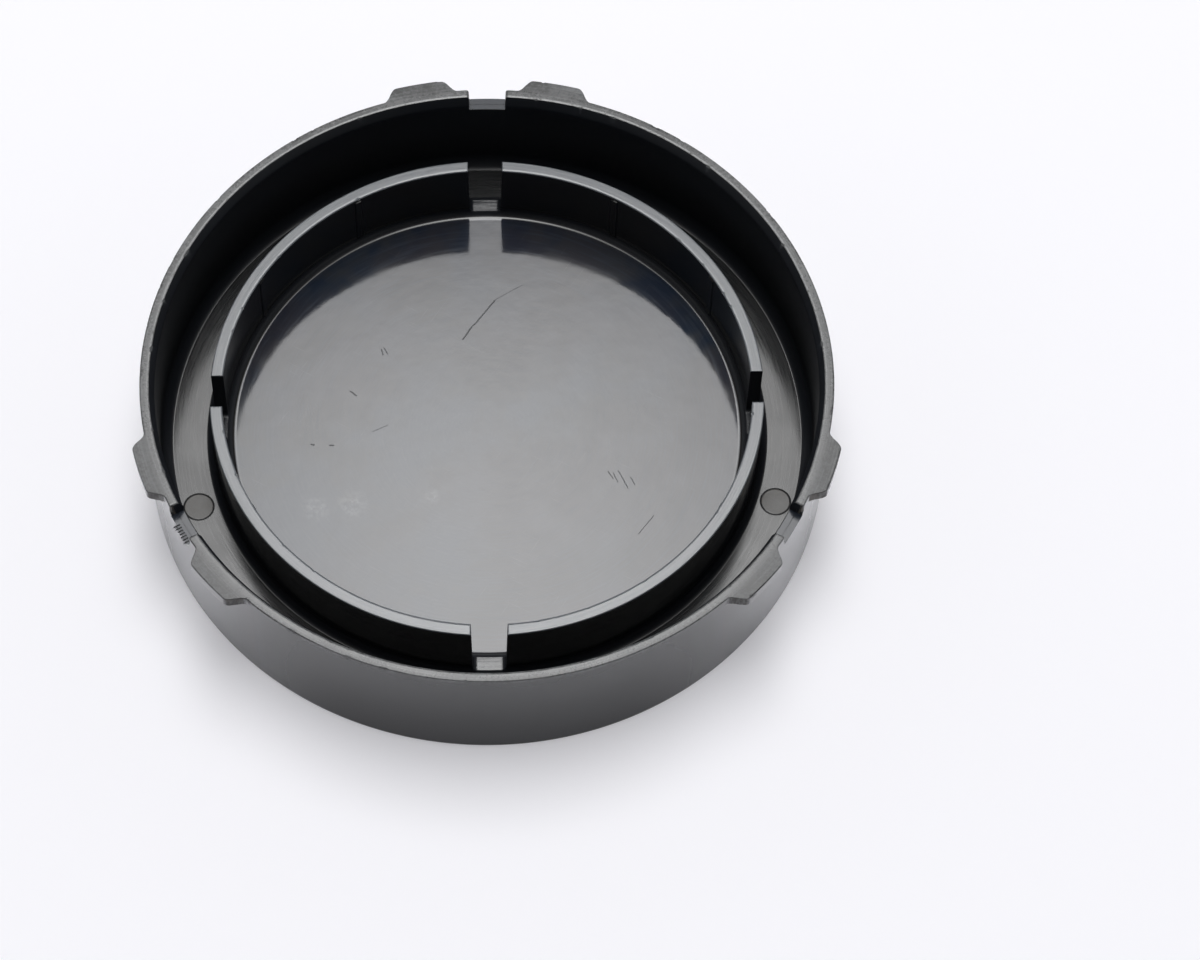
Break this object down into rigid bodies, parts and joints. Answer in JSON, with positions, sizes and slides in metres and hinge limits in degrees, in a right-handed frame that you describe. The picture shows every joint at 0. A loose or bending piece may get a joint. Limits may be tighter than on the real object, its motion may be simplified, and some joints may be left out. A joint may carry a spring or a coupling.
{
  "type": "rear lens cap",
  "caption": "Black moulded rear cap for a camera lens: round cup with a slotted inner ring, rim notches and outward bayonet lugs.",
  "frame": {"origin": "centre of the flat base, on the cap's axis", "axes": "+Z along the cap's axis, from the base to the open side; +Y through the middle of one rim notch"},
  "size_m": [0.0806, 0.0813, 0.0164],
  "materials": {
    "cap_plastic": "semi-gloss black moulding, scuffed grey along the rim and lugs"
  },
  "bodies": {
    "root": {"cap_body": "cap_plastic"}
  },
  "joints": []
}
